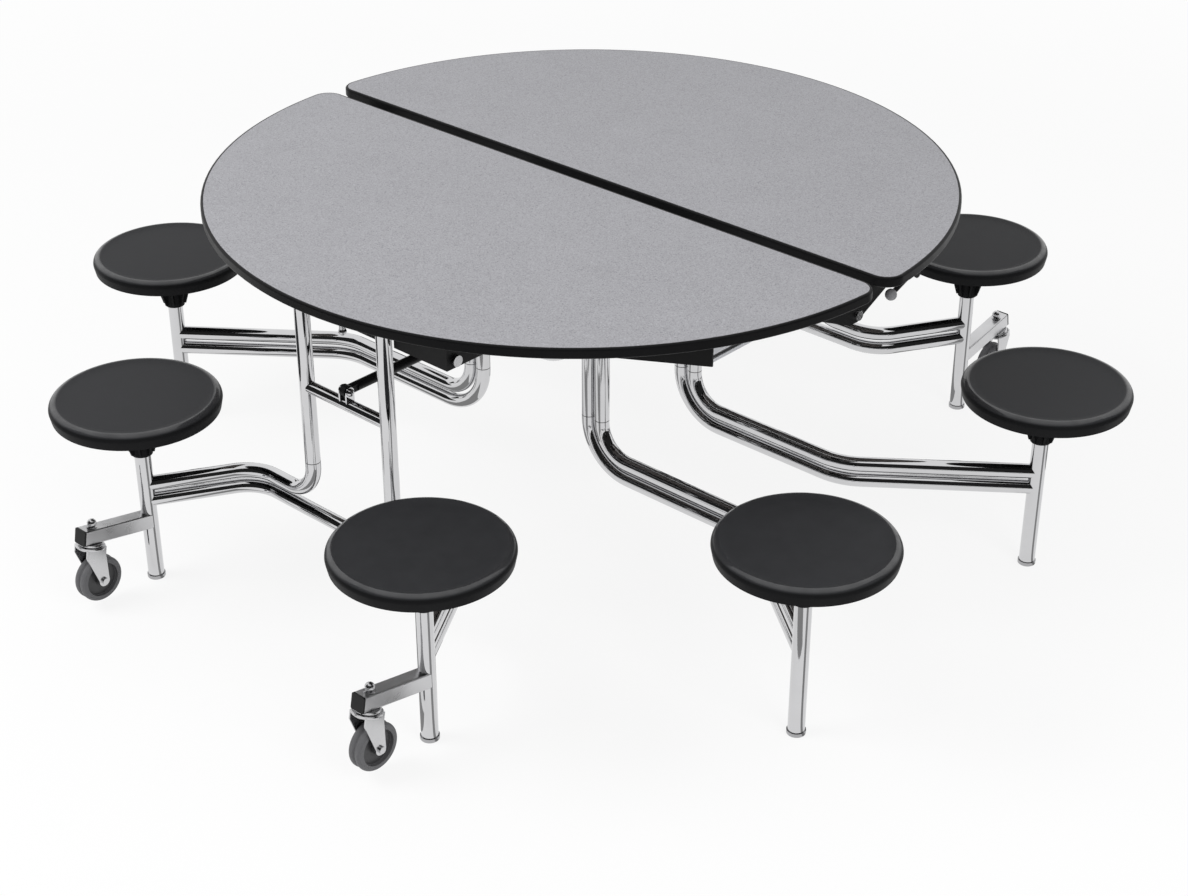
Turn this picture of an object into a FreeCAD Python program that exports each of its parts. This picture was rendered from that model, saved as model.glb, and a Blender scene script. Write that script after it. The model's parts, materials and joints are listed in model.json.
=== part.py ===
import FreeCAD
import Part

import math
import os

# Round folding table with eight swivel seats. Millimetres, +Z up, origin on the floor under the centre.
# The gap between the two half tops runs along X. The front half lies at -Y, and the rear half is the
# same half turned half a turn about Z.

# Half tops
TOP_RADIUS = 762.0
TOP_HEIGHT = 737.0
BOARD_THICKNESS = 21.0
EDGE_BAND_WIDTH = 6.0
EDGE_BAND_ROUND = 4.5
CORNER_RADIUS = 40.0
CENTRE_GAP = 28.0

# Round tubes of the two frames under each half
TUBE_DIAMETER = 31.0
TUBE_WALL = 2.0
CROSSBAR_DIAMETER = 25.4
CROSSBAR_WALL = 1.6
POST_DIAMETER = 33.0
POST_WALL = 2.0
ARM_HEIGHT = 221.0
ARM_PITCH = 36.0

# Caster frame: the outer frame of a half, with two seats, two legs and two casters
CASTER_SEAT_X = 407.0
CASTER_SEAT_OUTSIDE = 100.0
LEG_X = 115.0
LEG_INSIDE = 97.0
LEG_ELBOW_X = 290.0
LEG_ELBOW_RADIUS = 90.0
LEG_FOOT_RADIUS = 72.0

# Riser frame: the inner frame of a half, with two seats on double arms
RISER_SEAT_OUTSIDE = 136.0
RISER_SEAT_Y = 393.0
RISER_X = 154.0
RISER_Y = 148.0
RISER_ARM_SPAN = 316.0
RISER_ELBOW_RADIUS = 130.0
RISER_FOOT_RADIUS = 72.0

# Pivots that carry the frames and join the halves, all in one plane under the board
PIVOT_DROP = 61.0
PIVOT_INSET = 28.0
PIVOT_BOLT_DIAMETER = 16.0
PIVOT_CLEARANCE = 0.2
PIVOT_TAIL = 5.0
BOLT_HEAD_DIAMETER = 22.0
BOLT_HEAD_LENGTH = 7.0
SLEEVE_DIAMETER = 26.0
SLEEVE_OVERHANG = 6.5
TUBE_ABOVE_PIVOT = 12.0

# Pressed steel housings of the pivots
SHEET = 3.0
HOUSING_DEPTH = 76.0
HOUSING_OUTWARD = 22.0
LEG_HOUSING_INWARD = 70.0
RISER_HOUSING_INWARD = 38.0
LEG_HOUSING_HALF_LENGTH = 275.0
RISER_HOUSING_HALF_LENGTH = 240.0
SUPPORT_GAP = 8.0
NOTCH_CLEARANCE = 5.0
NOTCH_TOP_LAND = 11.0
BOLT_HOLE_CLEARANCE = 0.1

# Link rod that keeps both frames of a half upright
LINK_DROP = 151.0
LINK_TO_CROSSBAR = 30.0
LINK_DIAMETER = 20.0
LINK_EYE_DIAMETER = 24.0
LINK_EYE_WIDTH = 14.0
LINK_PIN_DIAMETER = 8.0
LINK_PIN_CLEARANCE = 0.3
LUG_THICKNESS = 4.0
LUG_SIDE_CLEARANCE = 0.5
LUG_RADIUS = 10.0
LINK_NOTCH_HEIGHT = 36.0

# Centre hinges that join the halves
HINGE_INSIDE = 65.0
HINGE_PLATE = 5.0
HINGE_PLATE_GAP = 2.0
HINGE_REACH = 140.0
HINGE_EYE_RADIUS = 15.0
HINGE_SHOULDER_Y = 22.0
HINGE_PLATE_END_HEIGHT = 22.0
HINGE_FLANGE_WIDTH = 20.0
HINGE_PIN_DIAMETER = 12.0
HINGE_PIN_CLEARANCE = 0.2
HINGE_HEAD_DIAMETER = 20.0
HINGE_HEAD_LENGTH = 6.0

# Latch box with its grooved rail, and the stop stud
LATCH_INSIDE = 146.0
LATCH_LENGTH = 196.0
LATCH_Y_NEAR = 165.0
LATCH_Y_FAR = 324.0
LATCH_SLANT = 117.0
RAIL_THICKNESS = 9.0
RAIL_HEIGHT = 56.0
RAIL_GROOVES = 3
RAIL_GROOVE_DEPTH = 3.0
RAIL_GROOVE_WIDTH = 7.0
STUD_X = 30.0
STUD_INSIDE = 72.0
STUD_DIAMETER = 12.0
STUD_LENGTH = 66.0
STUD_BALL_DIAMETER = 16.0

# Release lever under the rear half
LEVER_INSIDE = 37.0
LEVER_Y = 140.0
LEVER_DROP = 13.0
LEVER_BOSS_DIAMETER = 16.0
LEVER_BOSS_WIDTH = 18.0
LEVER_PIN_DIAMETER = 8.0
LEVER_PIN_CLEARANCE = 0.2
LEVER_ROD_DIAMETER = 10.0
LEVER_REACH = 68.0
LEVER_FALL = 24.0
LEVER_KNOB_DIAMETER = 23.0
LEVER_EAR = 3.0
LEVER_EAR_CLEARANCE = 0.5
LEVER_EAR_RADIUS = 9.0

# Seats
SEAT_HEIGHT = 425.0
SEAT_RADIUS = 170.0
SEAT_RIM_HEIGHT = 32.0
SEAT_WALL = 5.0
SEAT_DISH_DEPTH = 3.5
SEAT_DISH_RADIUS = 138.0
SEAT_CREST_RADIUS = 155.0
SEAT_SHOULDER_DROP = 15.0
SEAT_SKIRT_DRAFT = 3.5
HUB_BOTTOM = 293.0
HUB_DIAMETER = 43.0
HUB_FLANGE_RADIUS = 60.0
HUB_FLANGE = 6.0
HUB_RIBS = 8
HUB_RIB_THICKNESS = 4.0
HUB_RIB_FOOT = 4.0
SWIVEL_CLEARANCE = 0.4
POST_ABOVE_HUB_BOTTOM = 80.0

# Floor glides
GLIDE_HEIGHT = 9.0
GLIDE_DIAMETER = 37.0
GLIDE_ROUND = 2.5
GLIDE_PLUG_LENGTH = 18.0
PLUG_CLEARANCE = 0.1

# Casters and the square arms that carry them
CASTER_TILT = 11.0
CASTER_ARM_HEIGHT = 139.0
CASTER_ARM_SIZE = 32.0
CASTER_ARM_WALL = 2.0
CASTER_ARM_ROUND = 3.0
CASTER_ARM_LENGTH = 168.0
ARM_PLUG_HEAD = 4.0
ARM_PLUG_DEPTH = 14.0
STEM_SETBACK = 23.0
STEM_DIAMETER = 12.0
STEM_HOLE_CLEARANCE = 0.3
WASHER_DIAMETER = 22.0
WASHER_THICKNESS = 2.0
NUT_HEIGHT = 9.0
NUT_DIAMETER = 14.0
NUT_BALL_DIAMETER = 19.0
RACE_DIAMETER = 50.0
RACE_THICKNESS = 5.0
RACE_CHAMFER = 2.0
CROWN_DIAMETER = 60.0
CROWN_THICKNESS = 6.0
CROWN_CHAMFER = 2.0
SWIVEL_GAP = 0.4
RIVET_DIAMETER = 20.0
RIVET_HEIGHT = 4.0
FORK_THICKNESS = 3.0
FORK_TOP_WIDTH = 46.0
FORK_SHOULDER = 18.0
FORK_EYE_RADIUS = 12.0
CASTER_TRAIL = 23.0
AXLE_DROP = 100.0
WHEEL_DIAMETER = 96.0
WHEEL_WIDTH = 31.0
WHEEL_TREAD_CROWN = 4.0
WHEEL_GROOVE_WIDTH = 3.0
WHEEL_GROOVE_DEPTH = 3.5
WHEEL_RIM_RADIUS = 36.0
WHEEL_WEB_WIDTH = 15.0
WHEEL_HUB_RADIUS = 13.0
WHEEL_SIDE_CLEARANCE = 3.0
WHEEL_HUB_CLEARANCE = 1.0
AXLE_DIAMETER = 8.0
AXLE_CLEARANCE = 0.25
AXLE_HEAD_DIAMETER = 14.0
AXLE_HEAD_LENGTH = 5.0

# Worked out from the sizes above
UNDERSIDE = TOP_HEIGHT - BOARD_THICKNESS
PIVOT_HEIGHT = UNDERSIDE - PIVOT_DROP
CASTER_SEAT_Y = TOP_RADIUS + CASTER_SEAT_OUTSIDE
LEG_Y = TOP_RADIUS - LEG_INSIDE
RISER_SEAT_X = TOP_RADIUS + RISER_SEAT_OUTSIDE
RISER_ELBOW_X = RISER_SEAT_X - RISER_ARM_SPAN
HINGE_X = TOP_RADIUS - HINGE_INSIDE
LATCH_X = TOP_RADIUS - LATCH_INSIDE
STUD_Y = TOP_RADIUS - STUD_INSIDE
LEVER_X = TOP_RADIUS - LEVER_INSIDE
LINK_HEIGHT = PIVOT_HEIGHT - LINK_DROP
LEG_CROSSBAR_HEIGHT = LINK_HEIGHT - LINK_TO_CROSSBAR
RISER_CROSSBAR_HEIGHT = LINK_HEIGHT + LINK_TO_CROSSBAR
LEG_PIVOT_Y = LEG_Y - PIVOT_INSET
RISER_PIVOT_Y = RISER_Y - PIVOT_INSET
HALF_GAP = CENTRE_GAP / 2
LOWER_ARM_HEIGHT = ARM_HEIGHT - ARM_PITCH
TUBE_RADIUS = TUBE_DIAMETER / 2
POST_RADIUS = POST_DIAMETER / 2
POST_TOP = HUB_BOTTOM + POST_ABOVE_HUB_BOTTOM
HOUSING_BOTTOM = UNDERSIDE - HOUSING_DEPTH
NOTCH_TOP = UNDERSIDE - NOTCH_TOP_LAND
CASTER_ARM_BOTTOM = CASTER_ARM_HEIGHT - CASTER_ARM_SIZE / 2
CASTER_ARM_TOP = CASTER_ARM_HEIGHT + CASTER_ARM_SIZE / 2
CASTER_ARM_END_Y = -CASTER_SEAT_Y - CASTER_ARM_LENGTH
STEM_Y = CASTER_ARM_END_Y + STEM_SETBACK
CROWN_TOP = CASTER_ARM_BOTTOM - RACE_THICKNESS - SWIVEL_GAP
CROWN_BOTTOM = CROWN_TOP - CROWN_THICKNESS
WHEEL_RADIUS = WHEEL_DIAMETER / 2
AXLE_Y = STEM_Y + CASTER_TRAIL
AXLE_HEIGHT = CASTER_ARM_HEIGHT - AXLE_DROP
FORK_INNER_X = WHEEL_WIDTH / 2 + WHEEL_SIDE_CLEARANCE

Vec = FreeCAD.Vector
X_AXIS = Vec(1, 0, 0)
Y_AXIS = Vec(0, 1, 0)
Z_AXIS = Vec(0, 0, 1)
ORIGIN = Vec(0, 0, 0)


def cylinder(diameter, start, axis, length):
    """Solid round bar from a start point along an axis."""
    return Part.makeCylinder(diameter / 2, length, start, axis)


def block(low, high):
    """Solid box between two corners."""
    size = high - low
    return Part.makeBox(size.x, size.y, size.z, low)


def fuse(shapes):
    """One clean solid from touching or overlapping shapes."""
    whole = shapes[0].multiFuse(shapes[1:])
    return whole.removeSplitter()


def prism(points, direction):
    """Straight prism on a flat polygon."""
    face = Part.Face(Part.makePolygon(points + [points[0]]))
    return face.extrude(direction)


def revolved(edges, centre, axis):
    """Solid of revolution of a closed profile."""
    return Part.Face(Part.Wire(edges)).revolve(centre, axis, 360)


def chain(points):
    """Straight edges through the points and back to the first."""
    ends = points[1:] + points[:1]
    return [Part.LineSegment(a, b).toShape() for a, b in zip(points, ends)]


def straight_tube(diameter, wall, start, axis, length):
    """Round tube with a bore."""
    bore = cylinder(diameter - 2 * wall, start, axis, length)
    return cylinder(diameter, start, axis, length).cut(bore)


def bent_path(corners, radii):
    """Straight runs joined by tangent arcs, one radius for each inner corner."""
    edges = []
    start = corners[0]
    for before, corner, after, radius in zip(corners, corners[1:], corners[2:], radii):
        into = (corner - before).normalize()
        out = (after - corner).normalize()
        turn = into.getAngle(out)
        reach = radius * math.tan(turn / 2)
        arc_start = corner - into * reach
        arc_end = corner + out * reach
        to_centre = (out - into).normalize()
        middle = corner + to_centre * (radius / math.cos(turn / 2) - radius)
        edges.append(Part.LineSegment(start, arc_start).toShape())
        edges.append(Part.Arc(arc_start, middle, arc_end).toShape())
        start = arc_end
    edges.append(Part.LineSegment(start, corners[-1]).toShape())
    return Part.Wire(edges)


def bent_bar(corners, radii, diameter):
    """Solid round bar bent along a path."""
    heading = corners[1] - corners[0]
    section = Part.Face(Part.Wire(Part.makeCircle(diameter / 2, corners[0], heading)))
    return bent_path(corners, radii).makePipe(section)


def bent_tube(corners, radii):
    """Frame tube bent along a path."""
    bore = bent_bar(corners, radii, TUBE_DIAMETER - 2 * TUBE_WALL)
    return bent_bar(corners, radii, TUBE_DIAMETER).cut(bore)


def mirrored(shape):
    """Copy on the other side of the YZ plane."""
    return shape.mirror(ORIGIN, X_AXIS)


def both_sides(shape):
    """The shape and its mirror image across the YZ plane."""
    return [shape, mirrored(shape)]


def half_outline(inset):
    """Outline of the front half top: a half round with rounded corners, moved in by an inset."""
    radius = TOP_RADIUS - inset
    corner = CORNER_RADIUS - inset
    flat_y = -HALF_GAP - inset
    corner_y = -HALF_GAP - CORNER_RADIUS
    corner_x = math.sqrt((TOP_RADIUS - CORNER_RADIUS) ** 2 - CORNER_RADIUS ** 2)
    spread = math.atan2(CORNER_RADIUS, corner_x)
    rim = Vec(radius * math.cos(spread), -HALF_GAP - radius * math.sin(spread), 0)
    half_way = (math.pi / 2 - spread) / 2
    bulge = Vec(corner_x + corner * math.sin(half_way), corner_y + corner * math.cos(half_way), 0)
    right = Vec(corner_x, flat_y, 0)
    left = Vec(-corner_x, flat_y, 0)
    bottom = Vec(0, -HALF_GAP - radius, 0)
    rim_left = Vec(-rim.x, rim.y, 0)
    bulge_left = Vec(-bulge.x, bulge.y, 0)
    edges = [
        Part.LineSegment(left, right).toShape(),
        Part.Arc(right, bulge, rim).toShape(),
        Part.Arc(rim, bottom, rim_left).toShape(),
        Part.Arc(rim_left, bulge_left, left).toShape(),
    ]
    return Part.Face(Part.Wire(edges))


def half_slab(inset):
    """Half top at its height, moved in by an inset."""
    face = half_outline(inset)
    face.translate(Vec(0, 0, UNDERSIDE))
    return face.extrude(Vec(0, 0, BOARD_THICKNESS))


def edge_band():
    """Rounded vinyl edge all round a half top."""
    slab = half_slab(0)
    rims = []
    for edge in slab.Edges:
        box = edge.BoundBox
        if box.ZLength < EDGE_BAND_ROUND:
            rims.append(edge)
    return slab.makeFillet(EDGE_BAND_ROUND, rims).cut(half_slab(EDGE_BAND_WIDTH))


def post(x, y):
    """Upright tube that carries a seat."""
    foot = Vec(x, y, GLIDE_HEIGHT)
    return straight_tube(POST_DIAMETER, POST_WALL, foot, Z_AXIS, POST_TOP - GLIDE_HEIGHT)


def post_space(x, y):
    """Solid bar the size of a post, which copes what is welded to it."""
    return cylinder(POST_DIAMETER, Vec(x, y, 0), Z_AXIS, POST_TOP)


def glide(x, y):
    """Floor glide: a rounded foot with a plug that goes up into its post."""
    foot = cylinder(GLIDE_DIAMETER, Vec(x, y, 0), Z_AXIS, GLIDE_HEIGHT)
    sole = [edge for edge in foot.Edges if edge.BoundBox.ZMax < GLIDE_ROUND]
    foot = foot.makeFillet(GLIDE_ROUND, sole)
    bore = POST_DIAMETER - 2 * (POST_WALL + PLUG_CLEARANCE)
    return fuse([foot, cylinder(bore, Vec(x, y, GLIDE_HEIGHT), Z_AXIS, GLIDE_PLUG_LENGTH)])


def sleeve_bar(pivot_y, low_x, high_x, diameter):
    """Round bar on a frame's pivot axis."""
    return cylinder(diameter, Vec(low_x, -pivot_y, PIVOT_HEIGHT), X_AXIS, high_x - low_x)


def pivot_sleeve(pivot_y, first_x, last_x):
    """Sleeve that turns on the pivot bolt, from the first tube to the last one welded to it."""
    low = first_x - TUBE_RADIUS - SLEEVE_OVERHANG
    high = last_x + TUBE_RADIUS + SLEEVE_OVERHANG
    bore = PIVOT_BOLT_DIAMETER + 2 * PIVOT_CLEARANCE
    outside = sleeve_bar(pivot_y, low, high, SLEEVE_DIAMETER)
    return outside.cut(sleeve_bar(pivot_y, low, high, bore))


def cope_sleeve(tube, pivot_y, first_x, last_x):
    """Cut a tube where the pivot sleeve passes it."""
    low = first_x - TUBE_DIAMETER
    high = last_x + TUBE_DIAMETER
    return tube.cut(sleeve_bar(pivot_y, low, high, SLEEVE_DIAMETER))


def right_leg():
    """Tube from the right caster seat inwards along the floor side and up to the pivot."""
    corners = [
        Vec(CASTER_SEAT_X, -CASTER_SEAT_Y, ARM_HEIGHT),
        Vec(LEG_ELBOW_X, -LEG_Y, ARM_HEIGHT),
        Vec(LEG_X, -LEG_Y, ARM_HEIGHT),
        Vec(LEG_X, -LEG_Y, PIVOT_HEIGHT + TUBE_ABOVE_PIVOT),
    ]
    tube = bent_tube(corners, [LEG_ELBOW_RADIUS, LEG_FOOT_RADIUS])
    tube = tube.cut(post_space(CASTER_SEAT_X, -CASTER_SEAT_Y))
    return cope_sleeve(tube, LEG_PIVOT_Y, LEG_X, LEG_X)


def legs():
    """Both legs of a caster frame with their pivot sleeves."""
    sleeve = pivot_sleeve(LEG_PIVOT_Y, LEG_X, LEG_X)
    return both_sides(right_leg()) + both_sides(sleeve)


def base_rail():
    """Lower tube from one caster seat to the other."""
    height = LOWER_ARM_HEIGHT
    corners = [
        Vec(-CASTER_SEAT_X, -CASTER_SEAT_Y, height),
        Vec(-LEG_ELBOW_X, -LEG_Y, height),
        Vec(LEG_ELBOW_X, -LEG_Y, height),
        Vec(CASTER_SEAT_X, -CASTER_SEAT_Y, height),
    ]
    tube = bent_tube(corners, [LEG_ELBOW_RADIUS, LEG_ELBOW_RADIUS])
    for side in (-1, 1):
        tube = tube.cut(post_space(side * CASTER_SEAT_X, -CASTER_SEAT_Y))
    return tube


def lug(x, tube_y, tube_height):
    """Ear welded to a crossbar, with a round end on the link pin's axis."""
    eye = Vec(x, tube_y, LINK_HEIGHT)
    root = Vec(x, tube_y, tube_height)
    web_low = min(LINK_HEIGHT, tube_height)
    web_high = max(LINK_HEIGHT, tube_height)
    web = block(Vec(x, tube_y - LUG_RADIUS, web_low), Vec(x + LUG_THICKNESS, tube_y + LUG_RADIUS, web_high))
    ear = fuse([web, cylinder(2 * LUG_RADIUS, eye, X_AXIS, LUG_THICKNESS)])
    ear = ear.cut(cylinder(LINK_PIN_DIAMETER, eye, X_AXIS, LUG_THICKNESS))
    return ear.cut(cylinder(CROSSBAR_DIAMETER, root, X_AXIS, LUG_THICKNESS))


def link_pin(tube_y):
    """Headed pin through the two ears of a crossbar and the eye of the link rod."""
    half = LINK_EYE_WIDTH / 2 + LUG_SIDE_CLEARANCE + LUG_THICKNESS
    start = Vec(-half, tube_y, LINK_HEIGHT)
    shank = cylinder(LINK_PIN_DIAMETER, start, X_AXIS, 2 * half)
    head = Part.makeSphere(LINK_PIN_DIAMETER, Vec(half, tube_y, LINK_HEIGHT), X_AXIS, 0, 90, 360)
    return fuse([shank, head])


def crossbar(tube_y, tube_height, tube_x):
    """Round bar between two uprights, with the ears and pin of the link rod at its middle."""
    start = Vec(-tube_x, tube_y, tube_height)
    bar = straight_tube(CROSSBAR_DIAMETER, CROSSBAR_WALL, start, X_AXIS, 2 * tube_x)
    for side in (-1, 1):
        upright = Vec(side * tube_x, tube_y, tube_height - TUBE_DIAMETER)
        bar = bar.cut(cylinder(TUBE_DIAMETER, upright, Z_AXIS, 2 * TUBE_DIAMETER))
    ear_x = LINK_EYE_WIDTH / 2 + LUG_SIDE_CLEARANCE
    ears = both_sides(lug(ear_x, tube_y, tube_height))
    return [bar] + ears + [link_pin(tube_y)]


def link_rod():
    """Rod between the crossbars of the two frames, with an eye at each end."""
    front = Vec(0, -LEG_Y, LINK_HEIGHT)
    back = Vec(0, -RISER_Y, LINK_HEIGHT)
    half_width = LINK_EYE_WIDTH / 2
    bore = LINK_PIN_DIAMETER + 2 * LINK_PIN_CLEARANCE
    pieces = [cylinder(LINK_DIAMETER, front, Y_AXIS, LEG_Y - RISER_Y)]
    eyes = []
    for end in (front, back):
        eyes.append(end - X_AXIS * half_width)
    for eye in eyes:
        pieces.append(cylinder(LINK_EYE_DIAMETER, eye, X_AXIS, LINK_EYE_WIDTH))
    rod = fuse(pieces)
    reach = LINK_EYE_DIAMETER
    for y in (-LEG_Y, -RISER_Y):
        low = Vec(half_width, y - reach, LINK_HEIGHT - reach)
        high = Vec(half_width + reach, y + reach, LINK_HEIGHT + reach)
        cheek = block(low, high)
        rod = rod.cut(cheek).cut(mirrored(cheek))
    for eye in eyes:
        rod = rod.cut(cylinder(bore, eye, X_AXIS, LINK_EYE_WIDTH))
    return rod


def seat_arm(height, riser_x, foot_radius):
    """Tube from the right riser seat inwards and up to the pivot."""
    corners = [
        Vec(RISER_SEAT_X, -RISER_SEAT_Y, height),
        Vec(RISER_ELBOW_X, -RISER_Y, height),
        Vec(riser_x, -RISER_Y, height),
        Vec(riser_x, -RISER_Y, PIVOT_HEIGHT + TUBE_ABOVE_PIVOT),
    ]
    tube = bent_tube(corners, [RISER_ELBOW_RADIUS, foot_radius])
    tube = tube.cut(post_space(RISER_SEAT_X, -RISER_SEAT_Y))
    return cope_sleeve(tube, RISER_PIVOT_Y, RISER_X, RISER_X + ARM_PITCH)


def seat_arms():
    """Double arms to both riser seats: the upper tube rises nearer the seat, inside the lower one's bend."""
    upper = seat_arm(ARM_HEIGHT, RISER_X + ARM_PITCH, RISER_FOOT_RADIUS)
    lower = seat_arm(LOWER_ARM_HEIGHT, RISER_X, RISER_FOOT_RADIUS + ARM_PITCH)
    sleeve = pivot_sleeve(RISER_PIVOT_Y, RISER_X, RISER_X + ARM_PITCH)
    return both_sides(upper) + both_sides(lower) + both_sides(sleeve)


def pivot_bolt(pivot_y, first_x, half_length):
    """Pivot bolt from its inner support plate to its head outside the housing's end."""
    low = first_x - TUBE_RADIUS - SLEEVE_OVERHANG - SUPPORT_GAP - SHEET - PIVOT_TAIL
    shank = sleeve_bar(pivot_y, low, half_length, PIVOT_BOLT_DIAMETER)
    head = sleeve_bar(pivot_y, half_length, half_length + BOLT_HEAD_LENGTH, BOLT_HEAD_DIAMETER)
    return fuse([shank, head])


def pivot_housing(pivot_y, half_length, inward, first_x, last_x):
    """Pressed pan under the board: ends and inner plates carry the pivot bolts, notches pass the tubes."""
    low_y = -pivot_y - HOUSING_OUTWARD
    high_y = -pivot_y + inward
    outside = block(Vec(-half_length, low_y, HOUSING_BOTTOM), Vec(half_length, high_y, UNDERSIDE))
    room_low = Vec(SHEET - half_length, low_y + SHEET, HOUSING_BOTTOM)
    room_high = Vec(half_length - SHEET, high_y - SHEET, UNDERSIDE - SHEET)
    pan = outside.cut(block(room_low, room_high))
    plate_x = first_x - TUBE_RADIUS - SLEEVE_OVERHANG - SUPPORT_GAP
    plate = block(Vec(plate_x - SHEET, low_y, HOUSING_BOTTOM), Vec(plate_x, high_y, UNDERSIDE))
    pan = fuse([pan, plate, mirrored(plate)])
    notch_low = Vec(first_x - TUBE_RADIUS - NOTCH_CLEARANCE, low_y, HOUSING_BOTTOM)
    notch_high = Vec(last_x + TUBE_RADIUS + NOTCH_CLEARANCE, low_y + SHEET, NOTCH_TOP)
    notch = block(notch_low, notch_high)
    link_half = LINK_DIAMETER / 2 + NOTCH_CLEARANCE
    link_top = HOUSING_BOTTOM + LINK_NOTCH_HEIGHT
    link_path = block(Vec(-link_half, low_y, HOUSING_BOTTOM), Vec(link_half, high_y, link_top))
    hole = PIVOT_BOLT_DIAMETER + 2 * BOLT_HOLE_CLEARANCE
    bolt_line = sleeve_bar(pivot_y, -half_length, half_length, hole)
    for cutter in (notch, mirrored(notch), link_path, bolt_line):
        pan = pan.cut(cutter)
    return pan


def leg_housing():
    """Pan that carries the two legs."""
    return pivot_housing(LEG_PIVOT_Y, LEG_HOUSING_HALF_LENGTH, LEG_HOUSING_INWARD, LEG_X, LEG_X)


def riser_housing():
    """Pan that carries the four risers, narrow so that it clears its twin when the halves are folded."""
    last_x = RISER_X + ARM_PITCH
    return pivot_housing(RISER_PIVOT_Y, RISER_HOUSING_HALF_LENGTH, RISER_HOUSING_INWARD, RISER_X, last_x)


def hinge_bracket(plate_x, flange_side):
    """Plate of a centre hinge with its flange under the front board."""
    profile = [
        Vec(plate_x, -HINGE_REACH, UNDERSIDE),
        Vec(plate_x, -HINGE_SHOULDER_Y, UNDERSIDE),
        Vec(plate_x, 0, PIVOT_HEIGHT + HINGE_EYE_RADIUS),
        Vec(plate_x, 0, PIVOT_HEIGHT - HINGE_EYE_RADIUS),
        Vec(plate_x, -HINGE_SHOULDER_Y, PIVOT_HEIGHT - HINGE_EYE_RADIUS),
        Vec(plate_x, -HINGE_REACH, UNDERSIDE - HINGE_PLATE_END_HEIGHT),
    ]
    centre = Vec(plate_x, 0, PIVOT_HEIGHT)
    eye = cylinder(2 * HINGE_EYE_RADIUS, centre, X_AXIS, HINGE_PLATE)
    flange_x = plate_x + HINGE_PLATE
    if flange_side < 0:
        flange_x = plate_x - HINGE_FLANGE_WIDTH
    flange_low = Vec(flange_x, -HINGE_REACH, UNDERSIDE - SHEET)
    flange_high = Vec(flange_x + HINGE_FLANGE_WIDTH, -HINGE_SHOULDER_Y, UNDERSIDE)
    bracket = fuse([prism(profile, X_AXIS * HINGE_PLATE), eye, block(flange_low, flange_high)])
    hole = HINGE_PIN_DIAMETER + 2 * HINGE_PIN_CLEARANCE
    return bracket.cut(cylinder(hole, centre, X_AXIS, HINGE_PLATE))


def hinge_brackets():
    """Outer plate at the right and inner plate at the left, so that both halves' plates lie side by side."""
    inner_left = -HINGE_X + HINGE_PLATE_GAP
    return [hinge_bracket(HINGE_X, 1), hinge_bracket(inner_left, 1)]


def hinge_pin():
    """Pin through the two plates of the right centre hinge, with a head at each end."""
    low = HINGE_X - HINGE_PLATE_GAP - HINGE_PLATE
    high = HINGE_X + HINGE_PLATE
    shank = cylinder(HINGE_PIN_DIAMETER, Vec(low, 0, PIVOT_HEIGHT), X_AXIS, high - low)
    outer = cylinder(HINGE_HEAD_DIAMETER, Vec(high, 0, PIVOT_HEIGHT), X_AXIS, HINGE_HEAD_LENGTH)
    inner_start = Vec(low - HINGE_HEAD_LENGTH - HINGE_PIN_CLEARANCE, 0, PIVOT_HEIGHT)
    inner = cylinder(HINGE_HEAD_DIAMETER, inner_start, X_AXIS, HINGE_HEAD_LENGTH)
    neck = cylinder(HINGE_PIN_DIAMETER, inner_start, X_AXIS, HINGE_HEAD_LENGTH + HINGE_PIN_CLEARANCE)
    return fuse([shank, outer, neck, inner])


def latch_box():
    """Sheet steel box of the latch, open at the end where its rail lies."""
    near_x = LATCH_X - LATCH_LENGTH
    slope = LATCH_SLANT / LATCH_LENGTH
    wall_y = SHEET * math.sqrt(1 + slope * slope)
    outline = [
        Vec(LATCH_X, -LATCH_Y_FAR, HOUSING_BOTTOM),
        Vec(LATCH_X, -LATCH_Y_NEAR, HOUSING_BOTTOM),
        Vec(near_x, -LATCH_Y_NEAR, HOUSING_BOTTOM),
        Vec(near_x, -LATCH_Y_FAR - LATCH_SLANT, HOUSING_BOTTOM),
    ]
    room = [
        Vec(LATCH_X, -LATCH_Y_FAR + wall_y, HOUSING_BOTTOM),
        Vec(LATCH_X, -LATCH_Y_NEAR - SHEET, HOUSING_BOTTOM),
        Vec(near_x + SHEET, -LATCH_Y_NEAR - SHEET, HOUSING_BOTTOM),
        Vec(near_x + SHEET, -LATCH_Y_FAR - LATCH_SLANT + SHEET * slope + wall_y, HOUSING_BOTTOM),
    ]
    box = prism(outline, Vec(0, 0, HOUSING_DEPTH))
    return box.cut(prism(room, Vec(0, 0, HOUSING_DEPTH - SHEET)))


def latch_rail():
    """Grooved rail across the open end of the latch box."""
    slope = LATCH_SLANT / LATCH_LENGTH
    wall_y = SHEET * math.sqrt(1 + slope * slope)
    high = UNDERSIDE - SHEET
    low_y = -LATCH_Y_FAR + wall_y
    high_y = -LATCH_Y_NEAR - SHEET
    rail = block(Vec(LATCH_X - RAIL_THICKNESS, low_y, high - RAIL_HEIGHT), Vec(LATCH_X, high_y, high))
    step = RAIL_HEIGHT / RAIL_GROOVES
    for index in range(RAIL_GROOVES):
        middle = high - step * (index + 0.5)
        groove_low = Vec(LATCH_X - RAIL_GROOVE_DEPTH, low_y, middle - RAIL_GROOVE_WIDTH / 2)
        groove_high = Vec(LATCH_X, high_y, middle + RAIL_GROOVE_WIDTH / 2)
        rail = rail.cut(block(groove_low, groove_high))
    return rail


def stop_stud():
    """Ball-ended stud under the rim."""
    top = Vec(STUD_X, -STUD_Y, UNDERSIDE)
    tip = top - Z_AXIS * STUD_LENGTH
    shank = cylinder(STUD_DIAMETER, tip, Z_AXIS, STUD_LENGTH)
    return fuse([shank, Part.makeSphere(STUD_BALL_DIAMETER / 2, tip)])


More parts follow.
